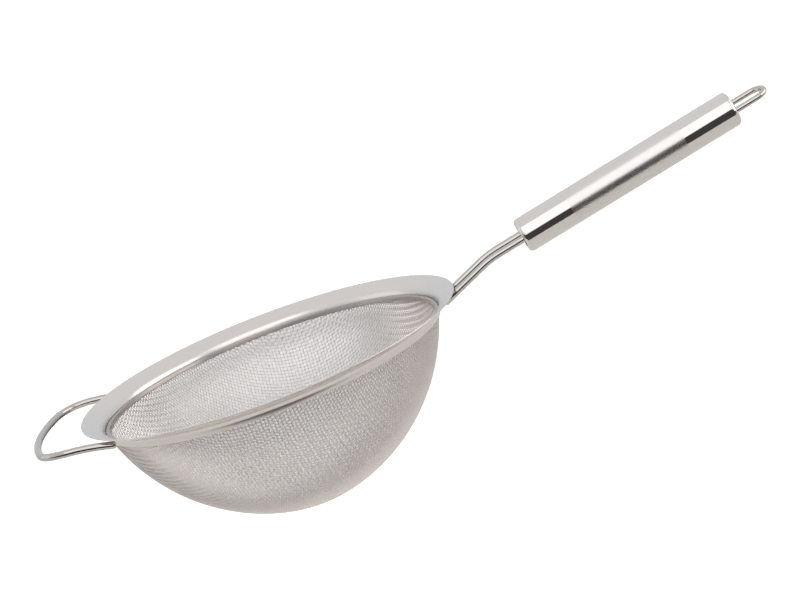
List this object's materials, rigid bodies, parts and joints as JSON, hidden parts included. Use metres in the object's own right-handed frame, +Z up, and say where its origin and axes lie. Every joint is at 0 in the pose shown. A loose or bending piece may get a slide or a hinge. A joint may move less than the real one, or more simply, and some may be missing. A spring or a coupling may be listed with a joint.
{
  "type": "tea strainer",
  "caption": "Round fine mesh strainer with a wide raised rim, a wire rest loop, a two-wire shank and a tube handle with a hanging loop.",
  "frame": {"origin": "centre of the small flat at the bottom of the bowl, which the strainer rests on", "axes": "+Z up along the bowl's axis with the rim level, +X along the handle away from the bowl, rest loop on the -X side"},
  "size_m": [0.3241, 0.16, 0.0996],
  "materials": {
    "woven_cloth": "bright wire, plain weave",
    "rim_steel": "satin, polished at the bend",
    "clamp_steel": "polished",
    "wire_steel": "bright drawn wire",
    "handle_steel": "brushed middle, mirror polished ends",
    "cap_steel": "mirror polished"
  },
  "bodies": {
    "root": {"mesh_bowl": "woven_cloth", "rim_flange": "rim_steel", "clamp_ring": "clamp_steel", "rest_loop": "wire_steel", "shank_wire_left": "wire_steel", "shank_wire_right": "wire_steel", "handle_tube": "handle_steel", "handle_front_cap": "cap_steel", "handle_rear_cap": "cap_steel", "hanging_loop": "wire_steel"}
  },
  "joints": []
}
